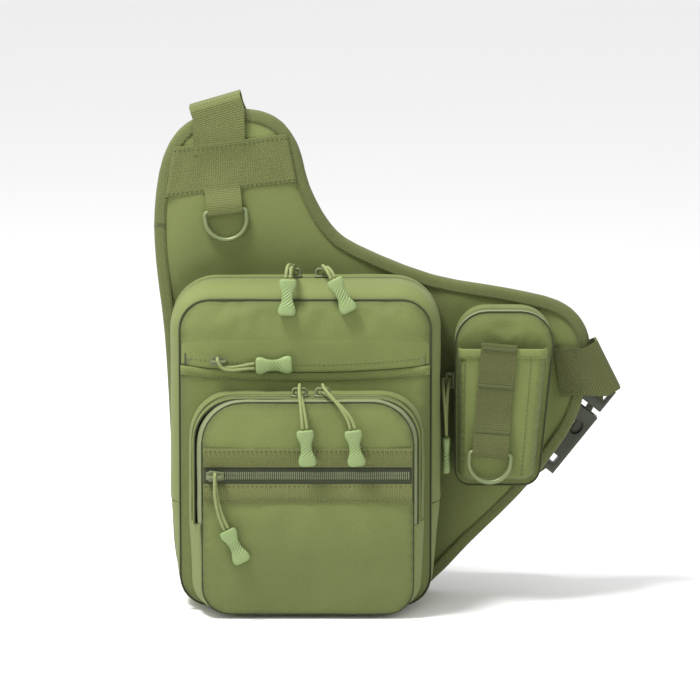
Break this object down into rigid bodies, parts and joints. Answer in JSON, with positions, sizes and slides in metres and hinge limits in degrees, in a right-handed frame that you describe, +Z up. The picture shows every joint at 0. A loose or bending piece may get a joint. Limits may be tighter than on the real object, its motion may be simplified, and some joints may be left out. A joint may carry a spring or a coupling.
{
  "type": "sling bag",
  "caption": "Shoulder sling bag: padded back panel with a side wing, zipped main compartment, front pocket, side pouch, webbing strap and quick-release buckle.",
  "frame": {"origin": "centre of the main compartment's base, on the surface it stands on", "axes": "+X towards the wing and side pouch, -Y towards the front pocket, +Z up"},
  "size_m": [0.3492, 0.1593, 0.3791],
  "materials": {
    "oxford_fabric": "woven",
    "webbing": "ribbed weave",
    "binding_tape": "ribbed weave",
    "zip_tape": "coil zip",
    "foam": "matte",
    "spacer_mesh": "open mesh",
    "grip_rubber": "satin, ridged",
    "pull_cord": "braided",
    "slider_metal": "satin",
    "ring_metal": "satin",
    "buckle_plastic": "matte"
  },
  "bodies": {
    "bag": {"back_panel_face": "oxford_fabric", "back_panel_foam": "foam", "back_mesh_padding": "spacer_mesh", "edge_binding": "binding_tape", "main_base_gusset": "oxford_fabric", "main_gusset_rear": "oxford_fabric", "main_zip_rear": "zip_tape", "pouch_gusset_lower": "oxford_fabric", "pouch_gusset_rear": "oxford_fabric", "pouch_zip_rear": "zip_tape", "top_band": "webbing", "top_keeper": "webbing", "shoulder_strap": "webbing", "wing_strap": "webbing", "buckle_male": "buckle_plastic"},
    "main_lid": {"main_gusset_front": "oxford_fabric", "main_zip_front": "zip_tape", "main_front_panel": "oxford_fabric", "main_slip_panel": "oxford_fabric", "hidden_zip": "zip_tape", "pocket_gusset_rear": "oxford_fabric", "pocket_gusset_lower": "oxford_fabric", "pocket_zip_rear": "zip_tape"},
    "pocket_lid": {"pocket_zip_front": "zip_tape", "pocket_front_panel": "oxford_fabric", "pocket_webbing_upper": "webbing", "pocket_webbing_lower": "webbing", "face_zip": "zip_tape"},
    "pouch_lid": {"pouch_zip_front": "zip_tape", "pouch_front_panel": "oxford_fabric", "pouch_sleeve": "oxford_fabric", "pouch_webbing": "webbing"},
    "top_d_ring": {"top_d_ring": "ring_metal"},
    "side_d_ring": {"side_d_ring": "ring_metal"},
    "buckle_female": {"buckle_female": "buckle_plastic"},
    "prong_left": {"buckle_prong_left": "buckle_plastic"},
    "prong_right": {"buckle_prong_right": "buckle_plastic"},
    "tri_glide": {"tri_glide": "buckle_plastic"},
    "main_left_slider": {"main_left_slider": "slider_metal"},
    "main_left_pull": {"main_left_grip": "grip_rubber", "main_left_cord": "pull_cord"},
    "main_right_slider": {"main_right_slider": "slider_metal"},
    "main_right_pull": {"main_right_grip": "grip_rubber", "main_right_cord": "pull_cord"},
    "pocket_left_slider": {"pocket_left_slider": "slider_metal"},
    "pocket_left_pull": {"pocket_left_grip": "grip_rubber", "pocket_left_cord": "pull_cord"},
    "pocket_right_slider": {"pocket_right_slider": "slider_metal"},
    "pocket_right_pull": {"pocket_right_grip": "grip_rubber", "pocket_right_cord": "pull_cord"},
    "face_slider": {"face_slider": "slider_metal"},
    "face_pull": {"face_grip": "grip_rubber", "face_cord": "pull_cord"},
    "hidden_slider": {"hidden_slider": "slider_metal"},
    "hidden_pull": {"hidden_grip": "grip_rubber", "hidden_cord": "pull_cord"},
    "pouch_slider": {"pouch_slider": "slider_metal"},
    "pouch_pull": {"pouch_grip": "grip_rubber", "pouch_cord": "pull_cord"}
  },
  "joints": [
    {"name": "main_open", "type": "hinge", "parent": "bag", "child": "main_lid", "pos_m": [0, -0.062, 0.002], "axis": [1, 0, 0], "range_deg": [0, 15]},
    {"name": "pocket_open", "type": "hinge", "parent": "main_lid", "child": "pocket_lid", "pos_m": [0, -0.062, 0.002], "axis": [1, 0, 0], "range_deg": [0, 18]},
    {"name": "pouch_open", "type": "hinge", "parent": "bag", "child": "pouch_lid", "pos_m": [0.1475, -0.005, 0.089], "axis": [1, 0, 0], "range_deg": [0, 22]},
    {"name": "top_ring_swing", "type": "hinge", "parent": "bag", "child": "top_d_ring", "pos_m": [-0.06, 0.0249, 0.291], "axis": [-0.9936, 0, -0.1132], "range_deg": [0, 135]},
    {"name": "side_ring_swing", "type": "hinge", "parent": "pouch_lid", "child": "side_d_ring", "pos_m": [0.137, -0.0209, 0.116], "axis": [-0.9969, 0, 0.0785], "range_deg": [0, 130]},
    {"name": "buckle_release", "type": "slide", "parent": "bag", "child": "buckle_female", "axis": [-0.6198, 0, -0.7848], "range_m": [0, 0.03], "deforming": ["shoulder_strap"]},
    {"name": "prong_left_squeeze", "type": "hinge", "parent": "bag", "child": "prong_left", "pos_m": [0.19108, 0.053, 0.15565], "axis": [0, -1, 0], "range_deg": [0, 6], "stiffness_Nm_per_rad": 0.3},
    {"name": "prong_right_squeeze", "type": "hinge", "parent": "bag", "child": "prong_right", "pos_m": [0.21384, 0.053, 0.13767], "axis": [0, 1, 0], "range_deg": [0, 6], "stiffness_Nm_per_rad": 0.3},
    {"name": "glide_slide", "type": "slide", "parent": "bag", "child": "tri_glide", "axis": [0.4202, 0, -0.9074], "range_m": [-0.02, 0.06]},
    {"name": "main_left_zip", "type": "slide", "parent": "main_lid", "child": "main_left_slider", "axis": [1, 0, 0], "range_m": [-0.054, 0]},
    {"name": "main_left_swing", "type": "hinge", "parent": "main_left_slider", "child": "main_left_pull", "pos_m": [-0.009, 0.0104, 0.2492], "axis": [-1, 0, 0], "range_deg": [0, 100]},
    {"name": "main_right_zip", "type": "slide", "parent": "main_lid", "child": "main_right_slider", "axis": [1, 0, 0], "range_m": [0, 0.05]},
    {"name": "main_right_swing", "type": "hinge", "parent": "main_right_slider", "child": "main_right_pull", "pos_m": [0.013, 0.0104, 0.2492], "axis": [-1, 0, 0], "range_deg": [0, 100]},
    {"name": "pocket_left_zip", "type": "slide", "parent": "pocket_lid", "child": "pocket_left_slider", "axis": [1, 0, 0], "range_m": [-0.04, 0]},
    {"name": "pocket_left_swing", "type": "hinge", "parent": "pocket_left_slider", "child": "pocket_left_pull", "pos_m": [-0.004, -0.051, 0.1702], "axis": [-1, 0, 0], "range_deg": [0, 150]},
    {"name": "pocket_right_zip", "type": "slide", "parent": "pocket_lid", "child": "pocket_right_slider", "axis": [1, 0, 0], "range_m": [0, 0.035]},
    {"name": "pocket_right_swing", "type": "hinge", "parent": "pocket_right_slider", "child": "pocket_right_pull", "pos_m": [0.013, -0.051, 0.1702], "axis": [-1, 0, 0], "range_deg": [0, 150]},
    {"name": "face_zip", "type": "slide", "parent": "pocket_lid", "child": "face_slider", "axis": [1, 0, 0], "range_m": [0, 0.125]},
    {"name": "face_swing", "type": "hinge", "parent": "face_slider", "child": "face_pull", "pos_m": [-0.066, -0.0702, 0.1075], "axis": [-1, 0, 0], "range_deg": [0, 150]},
    {"name": "hidden_zip", "type": "slide", "parent": "main_lid", "child": "hidden_slider", "axis": [1, 0, 0], "range_m": [0, 0.09]},
    {"name": "hidden_swing", "type": "hinge", "parent": "hidden_slider", "child": "hidden_pull", "pos_m": [-0.064, -0.0393, 0.188], "axis": [0, 1, 0], "range_deg": [-70, 0], "deforming": ["hidden_cord"]},
    {"name": "pouch_zip", "type": "slide", "parent": "pouch_lid", "child": "pouch_slider", "axis": [0, 0, 1], "range_m": [-0.045, 0.022]},
    {"name": "pouch_swing", "type": "hinge", "parent": "pouch_slider", "child": "pouch_pull", "pos_m": [0.1048, 0.0074, 0.166], "axis": [0, 0, 1], "range_deg": [-4, 10], "deforming": ["pouch_cord"]}
  ],
  "couplings": [
    {"joint": "prong_right_squeeze", "follows": "prong_left_squeeze", "ratio": 1}
  ]
}
